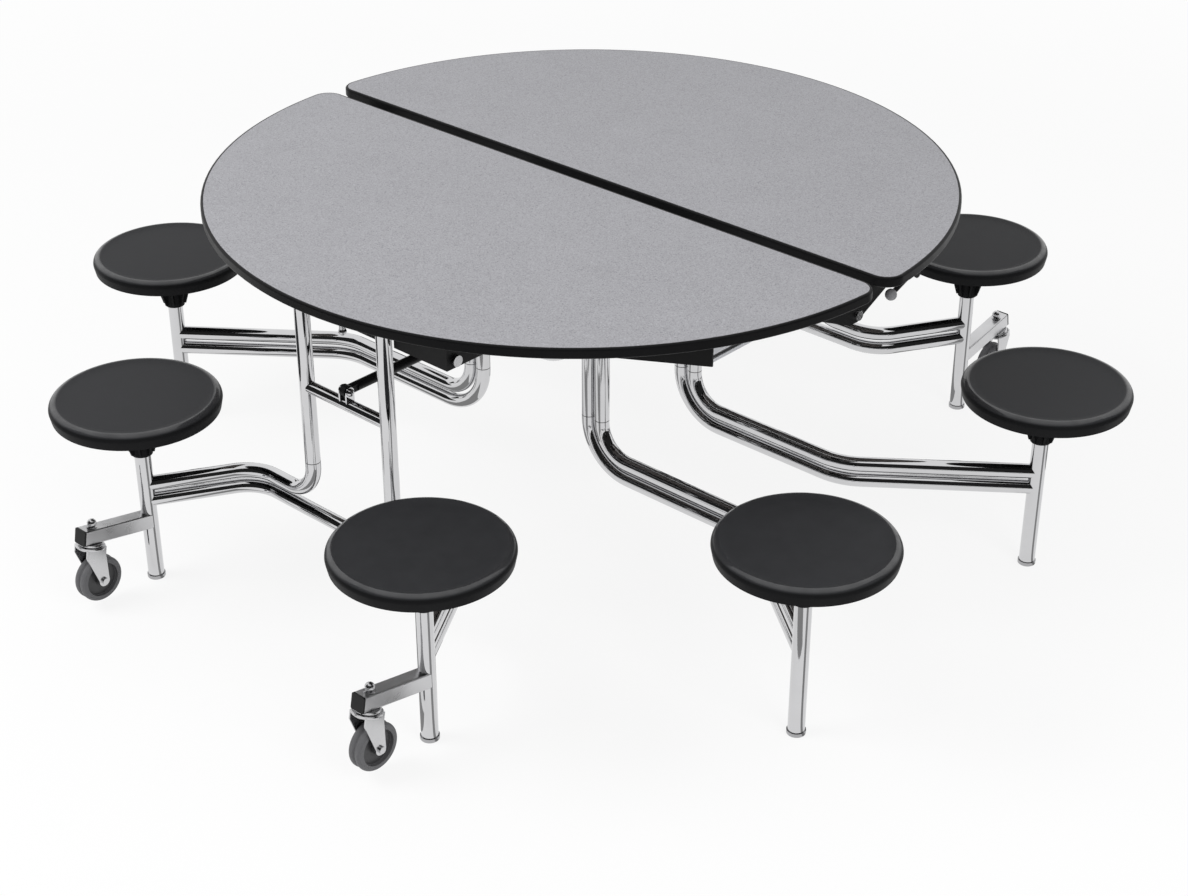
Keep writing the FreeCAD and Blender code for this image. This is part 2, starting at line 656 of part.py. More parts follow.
def top_hardware():
    """Pivot bolts, centre hinge pin and stop stud of a half."""
    leg_bolt = pivot_bolt(LEG_PIVOT_Y, LEG_X, LEG_HOUSING_HALF_LENGTH)
    riser_bolt = pivot_bolt(RISER_PIVOT_Y, RISER_X, RISER_HOUSING_HALF_LENGTH)
    return both_sides(leg_bolt) + both_sides(riser_bolt) + [hinge_pin(), stop_stud()]


def lever_bracket():
    """Two ears and a pin under the rear board that carry the release lever."""
    half = LEVER_BOSS_WIDTH / 2 + LEVER_EAR_CLEARANCE
    height = UNDERSIDE - LEVER_DROP
    ears = []
    for start in (LEVER_X - half - LEVER_EAR, LEVER_X + half):
        eye = cylinder(2 * LEVER_EAR_RADIUS, Vec(start, LEVER_Y, height), X_AXIS, LEVER_EAR)
        low = Vec(start, LEVER_Y - LEVER_EAR_RADIUS, height)
        high = Vec(start + LEVER_EAR, LEVER_Y + LEVER_EAR_RADIUS, UNDERSIDE)
        ears.append(fuse([eye, block(low, high)]))
    length = 2 * (half + LEVER_EAR)
    pin = cylinder(LEVER_PIN_DIAMETER, Vec(LEVER_X - length / 2, LEVER_Y, height), X_AXIS, length)
    return fuse(ears + [pin])


def release_lever():
    """Lever rod with a boss on its pin and a ball knob at its free end."""
    pivot = Vec(LEVER_X, LEVER_Y, UNDERSIDE - LEVER_DROP)
    knob = pivot + Vec(0, -LEVER_REACH, -LEVER_FALL)
    start = pivot - X_AXIS * (LEVER_BOSS_WIDTH / 2)
    boss = cylinder(LEVER_BOSS_DIAMETER, start, X_AXIS, LEVER_BOSS_WIDTH)
    rod = cylinder(LEVER_ROD_DIAMETER, pivot, knob - pivot, (knob - pivot).Length)
    lever = fuse([boss, rod, Part.makeSphere(LEVER_KNOB_DIAMETER / 2, knob)])
    bore = LEVER_PIN_DIAMETER + 2 * LEVER_PIN_CLEARANCE
    return lever.cut(cylinder(bore, start, X_AXIS, LEVER_BOSS_WIDTH))


def tilted(shape):
    """The shape turned about the right post so that the caster arm's outer end rises."""
    turned = shape.copy()
    turned.rotate(Vec(CASTER_SEAT_X, -CASTER_SEAT_Y, CASTER_ARM_HEIGHT), X_AXIS, -CASTER_TILT)
    return turned


def stacked_disc(diameter, chamfer, bottom, thickness, bore):
    """Round plate on the stem's line, with a bevelled rim and a bore."""
    rim = CASTER_SEAT_X + diameter / 2
    hole = CASTER_SEAT_X + bore / 2
    top = bottom + thickness
    profile = [
        Vec(hole, STEM_Y, bottom),
        Vec(rim - chamfer, STEM_Y, bottom),
        Vec(rim, STEM_Y, bottom + chamfer),
        Vec(rim, STEM_Y, top - chamfer),
        Vec(rim - chamfer, STEM_Y, top),
        Vec(hole, STEM_Y, top),
    ]
    return revolved(chain(profile), Vec(CASTER_SEAT_X, STEM_Y, 0), Z_AXIS)


def caster_arm():
    """Square tube that rises outwards from the right post, with a hole for the caster's stem."""
    half = CASTER_ARM_SIZE / 2
    low = Vec(CASTER_SEAT_X - half, CASTER_ARM_END_Y, CASTER_ARM_BOTTOM)
    high = Vec(CASTER_SEAT_X + half, -CASTER_SEAT_Y, CASTER_ARM_TOP)
    bar = block(low, high)
    long_edges = [edge for edge in bar.Edges if edge.BoundBox.YLength > CASTER_ARM_SIZE]
    bar = bar.makeFillet(CASTER_ARM_ROUND, long_edges)
    wall = Vec(CASTER_ARM_WALL, 0, CASTER_ARM_WALL)
    bar = bar.cut(block(low + wall, high - wall))
    hole = STEM_DIAMETER + 2 * STEM_HOLE_CLEARANCE
    bar = bar.cut(cylinder(hole, Vec(CASTER_SEAT_X, STEM_Y, 0), Z_AXIS, CASTER_ARM_TOP + NUT_HEIGHT))
    return tilted(bar).cut(post_space(CASTER_SEAT_X, -CASTER_SEAT_Y))


def arm_plug():
    """Cap that closes the end of the right caster arm."""
    half = CASTER_ARM_SIZE / 2
    spigot = half - CASTER_ARM_WALL - PLUG_CLEARANCE
    centre = Vec(CASTER_SEAT_X, CASTER_ARM_END_Y, CASTER_ARM_HEIGHT)
    head = block(centre + Vec(-half, -ARM_PLUG_HEAD, -half), centre + Vec(half, 0, half))
    edges = [edge for edge in head.Edges if edge.BoundBox.YLength > ARM_PLUG_HEAD / 2]
    head = head.makeFillet(CASTER_ARM_ROUND, edges)
    tongue = block(centre + Vec(-spigot, 0, -spigot), centre + Vec(spigot, ARM_PLUG_DEPTH, spigot))
    return tilted(fuse([head, tongue]))


def caster_stem():
    """Stem of the right caster: race under the arm, rivet under the fork, ball nut over the arm."""
    rivet_bottom = CROWN_BOTTOM - SWIVEL_GAP - RIVET_HEIGHT
    at = Vec(CASTER_SEAT_X, STEM_Y, rivet_bottom)
    nut_top = CASTER_ARM_TOP + NUT_HEIGHT
    foot = Vec(at.x, at.y, CASTER_ARM_TOP)
    race_bottom = CASTER_ARM_BOTTOM - RACE_THICKNESS
    pieces = [
        cylinder(STEM_DIAMETER, at, Z_AXIS, nut_top - rivet_bottom),
        cylinder(RIVET_DIAMETER, at, Z_AXIS, RIVET_HEIGHT),
        stacked_disc(RACE_DIAMETER, RACE_CHAMFER, race_bottom, RACE_THICKNESS, STEM_DIAMETER),
        cylinder(WASHER_DIAMETER, foot, Z_AXIS, WASHER_THICKNESS),
        cylinder(NUT_DIAMETER, foot, Z_AXIS, NUT_HEIGHT),
        Part.makeSphere(NUT_BALL_DIAMETER / 2, Vec(at.x, at.y, nut_top)),
    ]
    return tilted(fuse(pieces))


def caster_fork():
    """Swivelling fork of the right caster: a dished crown with two tapered cheeks."""
    x = CASTER_SEAT_X
    bore = STEM_DIAMETER + 2 * SWIVEL_CLEARANCE
    crown = stacked_disc(CROWN_DIAMETER, CROWN_CHAMFER, CROWN_BOTTOM, CROWN_THICKNESS, bore)
    inner = x + FORK_INNER_X
    top = CROWN_TOP - CROWN_CHAMFER
    shoulder = top - FORK_SHOULDER
    half = FORK_TOP_WIDTH / 2
    cheek_outline = [
        Vec(inner, STEM_Y - half, top),
        Vec(inner, STEM_Y + half, top),
        Vec(inner, STEM_Y + half, shoulder),
        Vec(inner, AXLE_Y + FORK_EYE_RADIUS, AXLE_HEIGHT),
        Vec(inner, AXLE_Y - FORK_EYE_RADIUS, AXLE_HEIGHT),
        Vec(inner, STEM_Y - half, shoulder),
    ]
    cheek = prism(cheek_outline, X_AXIS * FORK_THICKNESS)
    eye = cylinder(2 * FORK_EYE_RADIUS, Vec(inner, AXLE_Y, AXLE_HEIGHT), X_AXIS, FORK_THICKNESS)
    cheek = fuse([cheek, eye])
    middle = Vec(x, 0, 0)
    fork = fuse([crown, cheek, cheek.mirror(middle, X_AXIS)])
    hole = AXLE_DIAMETER + 2 * BOLT_HOLE_CLEARANCE
    span = 2 * (FORK_INNER_X + FORK_THICKNESS)
    return tilted(fork.cut(cylinder(hole, Vec(x - span / 2, AXLE_Y, AXLE_HEIGHT), X_AXIS, span)))


def caster_axle():
    """Axle bolt of the right caster, with a head outside each cheek."""
    half = FORK_INNER_X + FORK_THICKNESS
    start = Vec(CASTER_SEAT_X - half, AXLE_Y, AXLE_HEIGHT)
    pieces = [cylinder(AXLE_DIAMETER, start, X_AXIS, 2 * half)]
    for head_start in (start - X_AXIS * AXLE_HEAD_LENGTH, start + X_AXIS * 2 * half):
        pieces.append(cylinder(AXLE_HEAD_DIAMETER, head_start, X_AXIS, AXLE_HEAD_LENGTH))
    return tilted(fuse(pieces))


def caster_wheel():
    """Wheel of the right caster: two crowned treads, recessed web and a hub on the axle."""
    half = WHEEL_WIDTH / 2
    web = WHEEL_WEB_WIDTH / 2
    hub = FORK_INNER_X - WHEEL_HUB_CLEARANCE
    bore = AXLE_DIAMETER / 2 + AXLE_CLEARANCE
    groove = WHEEL_GROOVE_WIDTH / 2
    shoulder = WHEEL_RADIUS - WHEEL_TREAD_CROWN
    steps = [
        (WHEEL_RADIUS - WHEEL_GROOVE_DEPTH, 0),
        (WHEEL_RADIUS - WHEEL_GROOVE_DEPTH, groove),
        (WHEEL_RADIUS, half / 2),
        (shoulder, half),
        (WHEEL_RIM_RADIUS, half),
        (WHEEL_RIM_RADIUS, web),
        (WHEEL_HUB_RADIUS, web),
        (WHEEL_HUB_RADIUS, hub),
        (bore, hub),
        (bore, 0),
    ]
    points = [Vec(CASTER_SEAT_X + x, AXLE_Y, AXLE_HEIGHT + r) for r, x in steps]
    tread = Part.Arc(*points[1:4]).toShape()
    edges = [tread]
    for a, b in zip(points[3:], points[4:] + points[:1]):
        edges.append(Part.LineSegment(a, b).toShape())
    edges.append(Part.LineSegment(points[0], points[1]).toShape())
    centre = Vec(CASTER_SEAT_X, AXLE_Y, AXLE_HEIGHT)
    right = revolved(edges, centre, X_AXIS)
    return tilted(fuse([right, right.mirror(centre, X_AXIS)]))


def seat_shell():
    """Moulded seat: dished top, rounded rim and a hollow underside, on the Z axis."""
    dish = SEAT_HEIGHT - SEAT_DISH_DEPTH
    skirt_bottom = SEAT_HEIGHT - SEAT_RIM_HEIGHT
    shoulder = Vec(SEAT_RADIUS, 0, SEAT_HEIGHT - SEAT_SHOULDER_DROP)
    crest = Vec(SEAT_CREST_RADIUS, 0, SEAT_HEIGHT)
    ceiling = dish - SEAT_WALL
    lip = SEAT_RADIUS - SEAT_SKIRT_DRAFT
    round_over = math.radians(45)
    across = SEAT_RADIUS - SEAT_CREST_RADIUS
    over = Vec(SEAT_CREST_RADIUS + across * math.sin(round_over), 0,
               SEAT_HEIGHT - SEAT_SHOULDER_DROP * (1 - math.cos(round_over)))
    points = [
        shoulder,
        Vec(lip, 0, skirt_bottom),
        Vec(lip - SEAT_WALL, 0, skirt_bottom),
        Vec(SEAT_RADIUS - SEAT_WALL, 0, SEAT_HEIGHT - SEAT_SHOULDER_DROP),
        Vec(SEAT_CREST_RADIUS, 0, ceiling),
        Vec(0, 0, ceiling),
        Vec(0, 0, dish),
        Vec(SEAT_DISH_RADIUS, 0, dish),
        crest,
    ]
    edges = [Part.Arc(crest, over, shoulder).toShape()]
    for a, b in zip(points, points[1:]):
        edges.append(Part.LineSegment(a, b).toShape())
    return revolved(edges, ORIGIN, Z_AXIS)


def seat_hub():
    """Ribbed socket under the seat that turns on the post, on the Z axis."""
    ceiling = SEAT_HEIGHT - SEAT_DISH_DEPTH - SEAT_WALL
    radius = HUB_DIAMETER / 2
    flange_bottom = ceiling - HUB_FLANGE
    pieces = [
        cylinder(HUB_DIAMETER, Vec(0, 0, HUB_BOTTOM), Z_AXIS, ceiling - HUB_BOTTOM),
        cylinder(2 * HUB_FLANGE_RADIUS, Vec(0, 0, flange_bottom), Z_AXIS, HUB_FLANGE),
    ]
    side = Vec(0, HUB_RIB_THICKNESS, 0)
    outline = [
        Vec(0, 0, HUB_BOTTOM + HUB_RIB_FOOT),
        Vec(radius + HUB_RIB_FOOT, 0, HUB_BOTTOM + HUB_RIB_FOOT),
        Vec(HUB_FLANGE_RADIUS, 0, flange_bottom),
        Vec(0, 0, flange_bottom),
    ]
    rib = prism(outline, side)
    rib.translate(side * -0.5)
    for index in range(HUB_RIBS):
        turned = rib.copy()
        turned.rotate(ORIGIN, Z_AXIS, 360 * index / HUB_RIBS)
        pieces.append(turned)
    hub = fuse(pieces)
    socket = POST_DIAMETER + 2 * SWIVEL_CLEARANCE
    return hub.cut(cylinder(socket, Vec(0, 0, HUB_BOTTOM), Z_AXIS, POST_TOP - HUB_BOTTOM))


def group(shapes):
    """Separate solids that belong to one named piece."""
    return Part.makeCompound(shapes)


def rear(shape):
    """The same shape on the rear half."""
    turned = shape.copy()
    turned.rotate(ORIGIN, Z_AXIS, 180)
    return turned


def half_pieces():
    """Every piece of the front half, by name."""
    pieces = {
        "top_board": half_slab(EDGE_BAND_WIDTH),
        "edge_band": edge_band(),
        "leg_housing": leg_housing(),
        "riser_housing": riser_housing(),
        "hinge_brackets": group(hinge_brackets()),
        "latch_box": latch_box(),
        "latch_rail": latch_rail(),
        "top_hardware": group(top_hardware()),
        "legs": group(legs()),
        "base_rail": base_rail(),
        "leg_crossbar": group(crossbar(-LEG_Y, LEG_CROSSBAR_HEIGHT, LEG_X)),
        "caster_posts": group(both_sides(post(CASTER_SEAT_X, -CASTER_SEAT_Y))),
        "caster_glides": group(both_sides(glide(CASTER_SEAT_X, -CASTER_SEAT_Y))),
        "caster_arms": group(both_sides(caster_arm())),
        "arm_plugs": group(both_sides(arm_plug())),
        "caster_stems": group(both_sides(caster_stem())),
        "seat_arms": group(seat_arms()),
        "riser_crossbar": group(crossbar(-RISER_Y, RISER_CROSSBAR_HEIGHT, RISER_X)),
        "riser_posts": group(both_sides(post(RISER_SEAT_X, -RISER_SEAT_Y))),
        "riser_glides": group(both_sides(glide(RISER_SEAT_X, -RISER_SEAT_Y))),
        "link_rod": link_rod(),
    }
    return pieces


def seat_places():
    """Seat centres in order round the table, from the rear right riser seat."""
    quarter = [(RISER_SEAT_X, RISER_SEAT_Y), (CASTER_SEAT_X, CASTER_SEAT_Y)]
    places = list(quarter)
    places += [(-x, y) for x, y in reversed(quarter)]
    places += [(-x, -y) for x, y in quarter]
    places += [(x, -y) for x, y in reversed(quarter)]
    return places


def moving_pieces():
    """Seats, casters and the release lever, by name."""
    pieces = {}
    seat = group([seat_shell(), seat_hub()])
    for number, (x, y) in enumerate(seat_places(), 1):
        placed = seat.copy()
        placed.translate(Vec(x, y, 0))
        pieces["seat_%d" % number] = placed
    fork = group([caster_fork(), caster_axle()])
    wheel = caster_wheel()
    for kind, right in (("caster_fork", fork), ("caster_wheel", wheel)):
        pieces[kind + "_front_right"] = right
        pieces[kind + "_front_left"] = mirrored(right)
        pieces[kind + "_rear_left"] = rear(right)
        pieces[kind + "_rear_right"] = rear(mirrored(right))
    pieces["release_lever"] = release_lever()
    return pieces


def main():
    """Write one file for each named piece."""
    os.makedirs("parts", exist_ok=True)
    pieces = {}
    for name, shape in half_pieces().items():
        pieces["front_" + name] = shape
        pieces["rear_" + name] = rear(shape)
    pieces["lever_bracket"] = lever_bracket()
    pieces.update(moving_pieces())
    for name, shape in pieces.items():
        shape.exportStep("parts/%s.step" % name)


main()
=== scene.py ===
import json
import math

import bmesh
import bpy
from bpy.props import FloatProperty, FloatVectorProperty, IntProperty, PointerProperty
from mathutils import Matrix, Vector


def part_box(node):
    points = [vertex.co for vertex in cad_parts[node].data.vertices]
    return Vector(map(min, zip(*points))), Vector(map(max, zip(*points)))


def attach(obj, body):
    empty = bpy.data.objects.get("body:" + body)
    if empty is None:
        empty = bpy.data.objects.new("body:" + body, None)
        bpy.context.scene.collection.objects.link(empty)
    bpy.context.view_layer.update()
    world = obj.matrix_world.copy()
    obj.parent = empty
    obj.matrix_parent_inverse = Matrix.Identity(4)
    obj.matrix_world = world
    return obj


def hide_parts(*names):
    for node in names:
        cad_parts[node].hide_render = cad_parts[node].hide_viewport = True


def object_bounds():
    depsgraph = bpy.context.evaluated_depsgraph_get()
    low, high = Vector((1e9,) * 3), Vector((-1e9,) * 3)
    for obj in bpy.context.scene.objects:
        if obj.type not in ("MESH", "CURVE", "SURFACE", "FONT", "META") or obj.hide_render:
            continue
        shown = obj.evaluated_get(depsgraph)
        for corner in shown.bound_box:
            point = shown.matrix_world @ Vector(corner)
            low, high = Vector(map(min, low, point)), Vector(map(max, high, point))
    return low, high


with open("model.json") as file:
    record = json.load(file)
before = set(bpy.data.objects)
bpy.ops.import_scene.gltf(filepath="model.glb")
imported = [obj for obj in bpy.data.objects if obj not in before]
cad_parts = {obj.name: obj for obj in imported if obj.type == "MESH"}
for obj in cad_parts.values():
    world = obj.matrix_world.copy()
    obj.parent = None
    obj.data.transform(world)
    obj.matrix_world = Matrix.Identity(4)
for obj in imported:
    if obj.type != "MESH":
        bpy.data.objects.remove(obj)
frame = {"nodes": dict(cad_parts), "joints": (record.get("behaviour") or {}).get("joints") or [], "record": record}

bl_info = {
    "name": "Folding Table With Swivel Seats",
    "version": (1, 0, 0),
    "blender": (4, 5, 0),
    "location": "3D View > Sidebar > Folding Table",
    "description": "Dresses a round folding table: laminate tops, chrome frames, moulded seats and casters",
    "category": "Object",
}

CAD_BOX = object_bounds()
HALVES = ("front", "rear")
BODY_OF = {}
for body_name, members in frame["record"]["behaviour"]["bodies"].items():
    for member in members:
        BODY_OF[member] = body_name

# Joining and shading of the CAD meshes
MERGE_DISTANCE = 1e-5
FLAT_ANGLE = math.radians(0.5)
SMOOTH_ANGLE = math.radians(32)

# Tones of a finish, as shares of its ground colour
DARK_FLECK_TONE = 0.62
LIGHT_FLECK_TONE = 1.3
SEAM_TONE = 0.08
# painted shade on a seat's skirt
SKIRT_SHADE_TONE = 0.3
WEB_TONE = 0.3
SCUFF_TONE = 1.3
# painted shade in a rail's grooves
GROOVE_SHADE_TONE = 0.06

# Where a seat's edge changes its finish, in shares of the edge's radius:
# up from the skirt, where the skirt's painted shade fades out, and out from the crest
SKIRT_SHADE_FADE = (0.5, 0.72)
POLISH_RISE = (0.62, 0.86)
POLISH_REACH = (-0.15, 0.15)

# The lever's knob is painted a little past its ball
KNOB_MARGIN = 1.02

# Screw heads: sides, and width of the flat crown as a share of the diameter
TREE_NAME = "screw rows"
HEAD_SIDES = 16
CROWN_SHARE = 0.32

# Stage
FLOOR_SHADES = (0.86, 0.9)
FLOOR_CLOUDS = 2.0
FLOOR_SIDES = 64
CARD_CLOUDS = 3.0
CARD_LIFT = 0.001
SCREEN_STEPS = 32
CAMERA_REACH = 200.0


class Value:
    """An output socket of a material, on which Python's operators add Math nodes."""

    def __init__(self, paint, socket):
        self.paint = paint
        self.socket = socket

    def math(self, operation, *others):
        inputs = dict(enumerate((self,) + others))
        return self.paint.node("ShaderNodeMath", {"operation": operation}, inputs)

    def __add__(self, other):
        return self.math("ADD", other)

    __radd__ = __add__

    def __mul__(self, other):
        return self.math("MULTIPLY", other)

    __rmul__ = __mul__

    def __sub__(self, other):
        return self.math("SUBTRACT", other)

    def __rsub__(self, other):
        return self * -1 + other

    def __abs__(self):
        return self.math("ABSOLUTE")

    def under(self, edge):
        """1 where the value is under the edge, else 0."""
        return self.math("LESS_THAN", edge)

    def clamped(self):
        """The value, kept between 0 and 1."""
        return self.math("MAXIMUM", 0.0).math("MINIMUM", 1.0)

    def ramp(self, start, end):
        """Rises from 0 at the start to 1 at the end, and stays there."""
        return ((self - start) * (1 / (end - start))).clamped()

    def between(self, low, high):
        """Runs from low to high as the value runs from 0 to 1."""
        return low + (high - low) * self


class Paint:
    """A node material or world that is put together from expressions."""

    def __init__(self, name, kind="materials"):
        self.block = getattr(bpy.data, kind).new(name)
        self.block.use_nodes = True
        self.tree = self.block.node_tree
        self.tree.nodes.clear()
        self.place = None

    def node(self, kind, settings=None, inputs=None, output=0):
        """Add a node: its settings first, then the values or links of its sockets."""
        made = self.tree.nodes.new(kind)
        for name, value in (settings or {}).items():
            setattr(made, name, value)
        for key, value in (inputs or {}).items():
            if isinstance(value, Value):
                self.tree.links.new(value.socket, made.inputs[key])
            else:
                made.inputs[key].default_value = value
        return Value(self, made.outputs[output] if made.outputs else None)

    def position(self):
        """Object coordinates, which are the table's own frame."""
        if self.place is None:
            self.place = self.node("ShaderNodeTexCoord", output="Object")
        return self.place

    def along(self, axis):
        """One object coordinate."""
        return self.node("ShaderNodeSeparateXYZ", None, {0: self.position()}, output=axis)

    def away(self, centre, axes=(1.0, 1.0, 1.0)):
        """Distance from a point, counted along the given axes alone."""
        inputs = {0: self.position(), 1: axes}
        spot = self.node("ShaderNodeVectorMath", {"operation": "MULTIPLY"}, inputs)
        inputs = {0: spot, 1: Vector(centre) * Vector(axes)}
        return self.node("ShaderNodeVectorMath", {"operation": "DISTANCE"}, inputs, output="Value")

    def noise(self, scale, detail=2.0):
        """Noise from 0 to 1 with a given number of cells to the metre."""
        inputs = {"Vector": self.position(), "Scale": scale, "Detail": detail}
        return self.node("ShaderNodeTexNoise", None, inputs)

    def mix(self, share, low, high):
        """A colour between two colours."""
        inputs = {0: share, 6: low, 7: high}
        return self.node("ShaderNodeMix", {"data_type": "RGBA"}, inputs, output=2)

    def mottle(self, share, color, darker, lighter):
        """A colour that wanders between a darker and a lighter tone of itself."""
        return self.mix(share, tone(color, darker), tone(color, lighter))

    def bump(self, height, strength, depth):
        """A normal for the shader from a height between 0 and 1."""
        inputs = {"Strength": strength, "Distance": depth, "Height": height}
        return self.node("ShaderNodeBump", None, inputs)

    def surface(self, **inputs):
        """Close the material with one shader, whose sockets are named in lower case."""
        named = {}
        for name, value in inputs.items():
            named[name.replace("_", " ").title().replace("Ior", "IOR")] = value
        return self.close(self.node("ShaderNodeBsdfPrincipled", None, named))

    def close(self, shader, output="ShaderNodeOutputMaterial"):
        self.node(output, None, {"Surface": shader})
        return self.block


def tone(color, factor):
    """A colour made lighter or darker, with full alpha."""
    return tuple(min(1.0, part * factor) for part in color[:3]) + (1.0,)


def grey(shade):
    """A plain grey with full alpha."""
    return (shade, shade, shade, 1.0)


def laminate(name, looks):
    """Grey laminate with fine dark and light flecks, and a plain dark sheet on the underside."""
    paint = Paint(name)
    low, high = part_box("front_top_board")
    base = looks.laminate_color
    cloud = paint.noise(looks.cloud_scale, detail=4.0)
    fleck = paint.noise(looks.fleck_scale, detail=1.0)
    dark = fleck.ramp(looks.dark_flecks, looks.dark_flecks - looks.fleck_fade)
    light = fleck.ramp(looks.light_flecks, looks.light_flecks + looks.fleck_fade)
    ground = paint.mottle(cloud, base, darker=0.93, lighter=1.07)
    flecked = paint.mix(dark, ground, tone(base, DARK_FLECK_TONE))
    flecked = paint.mix(light, flecked, tone(base, LIGHT_FLECK_TONE))
    backing = paint.mottle(cloud, looks.backing_color, darker=0.9, lighter=1.1)
    underside = paint.along("Z").under((low.z + high.z) / 2)
    color = paint.mix(underside, flecked, backing)
    rough = fleck.between(0.4, 0.56)
    grain = paint.bump(fleck, strength=0.06, depth=0.0004)
    return paint.surface(base_color=color, roughness=rough, specular_ior_level=0.2, normal=grain)


def chrome(name, looks, seam_height=None):
    """Bright plating with faint clouding, and a dark line where two tubes slip together."""
    paint = Paint(name)
    cloud = paint.noise(looks.plating_scale, detail=3.0)
    color = paint.mottle(cloud, looks.chrome_color, darker=0.94, lighter=1.03)
    if seam_height is not None:
        seam = abs(paint.along("Z") - seam_height).under(looks.seam_width / 2)
        color = paint.mix(seam, color, tone(looks.chrome_color, SEAM_TONE))
    return paint.surface(base_color=color, metallic=1.0, roughness=cloud.between(0.035, 0.08))


def plated(name, color, looks, rough):
    """Dull plated or bare metal with a soft grain, between two roughnesses."""
    paint = Paint(name)
    cloud = paint.noise(looks.plating_scale, detail=5.0)
    mottled = paint.mottle(cloud, color, darker=0.82, lighter=1.12)
    grain = paint.bump(paint.noise(looks.grain_scale), strength=0.05, depth=0.0002)
    return paint.surface(base_color=mottled, metallic=1.0, roughness=cloud.between(*rough), normal=grain)


def dull(name, color, looks, rough, sheen):
    """Paint or vinyl: a plain colour with a little wear and grain, between two roughnesses."""
    paint = Paint(name)
    cloud = paint.noise(looks.wear_scale, detail=4.0)
    worn = paint.mottle(cloud, color, darker=0.85, lighter=1.15)
    grain = paint.bump(paint.noise(looks.grain_scale), strength=0.2, depth=0.0002)
    rough = cloud.between(*rough)
    return paint.surface(base_color=worn, roughness=rough, specular_ior_level=sheen, normal=grain)


def seat_finish(name, seat, looks):
    """Moulded black plastic: a scuffed top, an edge rubbed smooth by use and a skirt darkened with painted shade.
    """
    paint = Paint(name)
    low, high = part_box(seat)
    crest = (high.x - low.x) / 2 - looks.seat_round
    skirt_top = high.z - looks.seat_round
    rise = (paint.along("Z") - skirt_top) * (1 / looks.seat_round)
    reach = (paint.away((low + high) / 2, axes=(1, 1, 0)) - crest) * (1 / looks.seat_round)
    cloud = paint.noise(looks.wear_scale, detail=4.0)
    worn = paint.mottle(cloud, looks.seat_color, darker=0.85, lighter=1.15)
    # painted shade: the skirt under the edge is darker than the top
    color = paint.mix(rise.ramp(*SKIRT_SHADE_FADE), tone(looks.seat_color, SKIRT_SHADE_TONE), worn)
    polish = rise.ramp(*POLISH_RISE) * reach.ramp(*POLISH_REACH)
    polish = (polish * cloud.between(0.4, 1.3)).clamped()
    grain = paint.bump(paint.noise(looks.grain_scale), strength=0.2, depth=0.0002)
    return paint.surface(
        base_color=color, roughness=cloud.between(0.4, 0.52), specular_ior_level=0.07, normal=grain,
        coat_weight=polish, coat_ior=1.6, coat_roughness=0.12)


def wheel_finish(name, wheel, looks):
    """Grey tread and a darker web, told apart by the distance from the axle."""
    paint = Paint(name)
    low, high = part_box(wheel)
    web_radius = looks.web_share * (high.z - low.z) / 2
    web = paint.away((low + high) / 2, axes=(0, 1, 1)).under(web_radius)
    color = paint.mix(web, tone(looks.wheel_color, 1.0), tone(looks.wheel_color, WEB_TONE))
    scuffs = paint.noise(looks.wear_scale, detail=4.0) * 0.3
    worn = paint.mix(scuffs, color, tone(looks.wheel_color, SCUFF_TONE))
    return paint.surface(base_color=worn, roughness=web.between(0.5, 0.34), specular_ior_level=0.3)


def rail_span(looks):
    """Bottom and top of a rail that fills the open end of its latch box, down to a narrow lip."""
    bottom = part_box("front_latch_box")[0].z + looks.rail_lip
    return bottom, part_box("front_latch_rail")[1].z


def rail_finish(name, looks):
    """Dulled metal rail whose grooves, evenly spaced over its height, are darkened with painted shade."""
    paint = Paint(name)
    bottom, top = rail_span(looks)
    depth = (top - paint.along("Z")) * (looks.rail_grooves / (top - bottom))
    groove = abs(depth.math("FRACT") - 0.5).under(looks.groove_share / 2)
    cloud = paint.noise(looks.plating_scale, detail=4.0)
    ground = paint.mottle(cloud, looks.rail_color, darker=0.85, lighter=1.1)
    # painted shade: the grooves are darker than the rail's face
    color = paint.mix(groove, ground, tone(looks.rail_color, GROOVE_SHADE_TONE))
    rough = cloud.between(0.3, 0.45)
    return paint.surface(base_color=color, metallic=groove.between(0.5, 0.2), roughness=rough)


def lever_finish(name, looks):
    """Black rod with a grey ball knob at the lever's low end."""
    paint = Paint(name)
    low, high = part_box("release_lever")
    radius = (high.x - low.x) / 2
    centre = Vector(((low.x + high.x) / 2, low.y + radius, low.z + radius))
    knob = paint.away(centre).under(radius * KNOB_MARGIN)
    color = paint.mix(knob, tone(looks.black_steel_color, 1.0), tone(looks.knob_color, 1.0))
    rough = paint.noise(looks.wear_scale).between(0.3, 0.45)
    return paint.surface(base_color=color, roughness=rough)


def made_mesh(holder):
    """The plain mesh that an object's modifiers make."""
    graph = bpy.context.evaluated_depsgraph_get()
    return bpy.data.meshes.new_from_object(holder.evaluated_get(graph))


def smooth_copy(node, material, span=None):
    """A joined, smooth-shaded stand-in for a CAD node, in its place or stretched to a span of heights."""
    mesh = frame["nodes"][node].data.copy()
    if mesh.has_custom_normals:
        mesh.attributes.remove(mesh.attributes["custom_normal"])
    work = bmesh.new()
    work.from_mesh(mesh)
    bmesh.ops.remove_doubles(work, verts=work.verts, dist=MERGE_DISTANCE)
    bmesh.ops.dissolve_limit(work, angle_limit=FLAT_ANGLE, verts=work.verts, edges=work.edges)
    if span:
        low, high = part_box(node)
        stretch = (span[1] - span[0]) / (high.z - low.z)
        for vert in work.verts:
            vert.co.z = span[0] + (vert.co.z - low.z) * stretch
    work.to_mesh(mesh)
    work.free()
    mesh.polygons.foreach_set("use_smooth", [True] * len(mesh.polygons))
    mesh.set_sharp_from_angle(angle=SMOOTH_ANGLE)
    mesh.materials.clear()
    mesh.materials.append(material)
    piece = bpy.data.objects.new(node + "_finished", mesh)
    bpy.context.scene.collection.objects.link(piece)
    flatten = piece.modifiers.new("large faces stay flat", "WEIGHTED_NORMAL")
    flatten.keep_sharp = True
    piece.data = made_mesh(piece)
    piece.modifiers.clear()
    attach(piece, BODY_OF[node])
    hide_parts(node)


